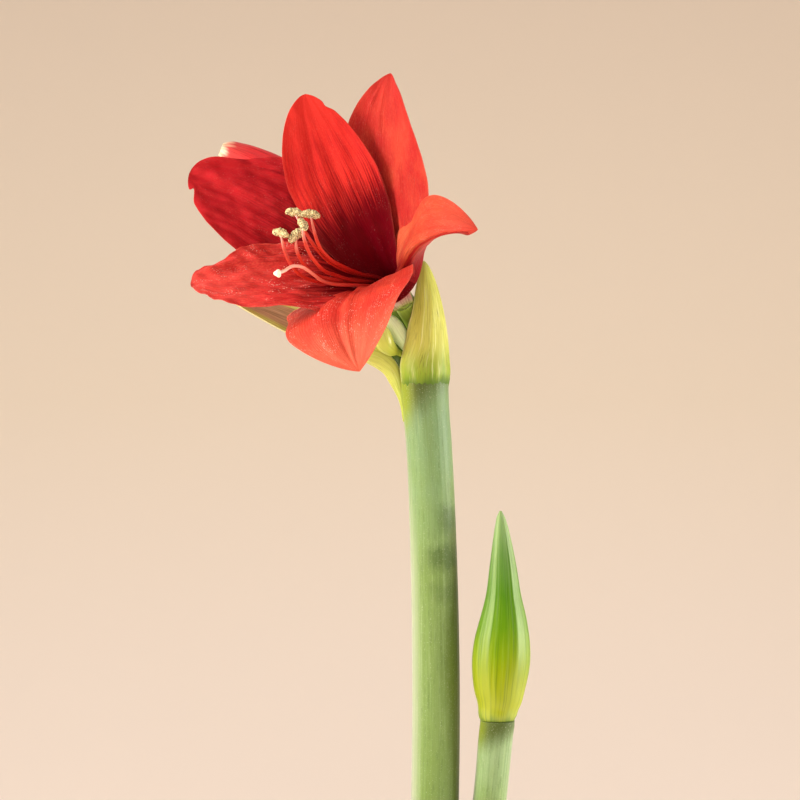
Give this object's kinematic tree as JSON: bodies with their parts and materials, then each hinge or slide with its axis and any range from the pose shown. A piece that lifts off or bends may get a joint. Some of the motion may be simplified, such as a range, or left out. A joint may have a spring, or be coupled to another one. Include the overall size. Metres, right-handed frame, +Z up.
{
  "type": "amaryllis in vase",
  "caption": "Red amaryllis in a plain glazed vase: a thick stem with an open bloom, bracts and buds, beside a stem with a closed green bud.",
  "frame": {"origin": "centre of the vase's foot, on the surface that it stands on", "axes": "+Z up along the vase; the open bloom faces -Y, turned a third of the way to -X; the bud stem is on the +X side"},
  "size_m": [0.2012, 0.1734, 0.5999],
  "materials": {
    "glazed_stoneware": "satin glaze, warm off-white",
    "water": "clear water",
    "scape_green": "living stem, waxy grey-green",
    "closed_spathe": "living spathe, glossy green",
    "bract_olive": "thin drying bract, olive yellow",
    "bract_green": "thin bract, yellow-green",
    "pedicel_green": "living stalk, smooth green",
    "bud_red": "folded tepals, satin red",
    "small_bud_green": "living bud, yellow-green",
    "tepal_red": "tepal, satin orange-red",
    "filament_red": "filament, smooth red",
    "style_pink": "style, smooth pink"
  },
  "bodies": {
    "root": {"vase": "glazed_stoneware", "water": "water", "flower_scape": "scape_green", "bud_scape": "scape_green", "closed_bud": "closed_spathe", "bract_upright": "bract_olive", "bract_reflexed": "bract_green", "bloom_pedicel": "pedicel_green", "second_bud_pedicel": "pedicel_green", "second_bud": "bud_red", "small_bud_left": "small_bud_green", "small_bud_right": "small_bud_green", "bloom_tepals": "tepal_red", "bloom_stamens": "filament_red", "bloom_style": "style_pink"}
  },
  "joints": []
}
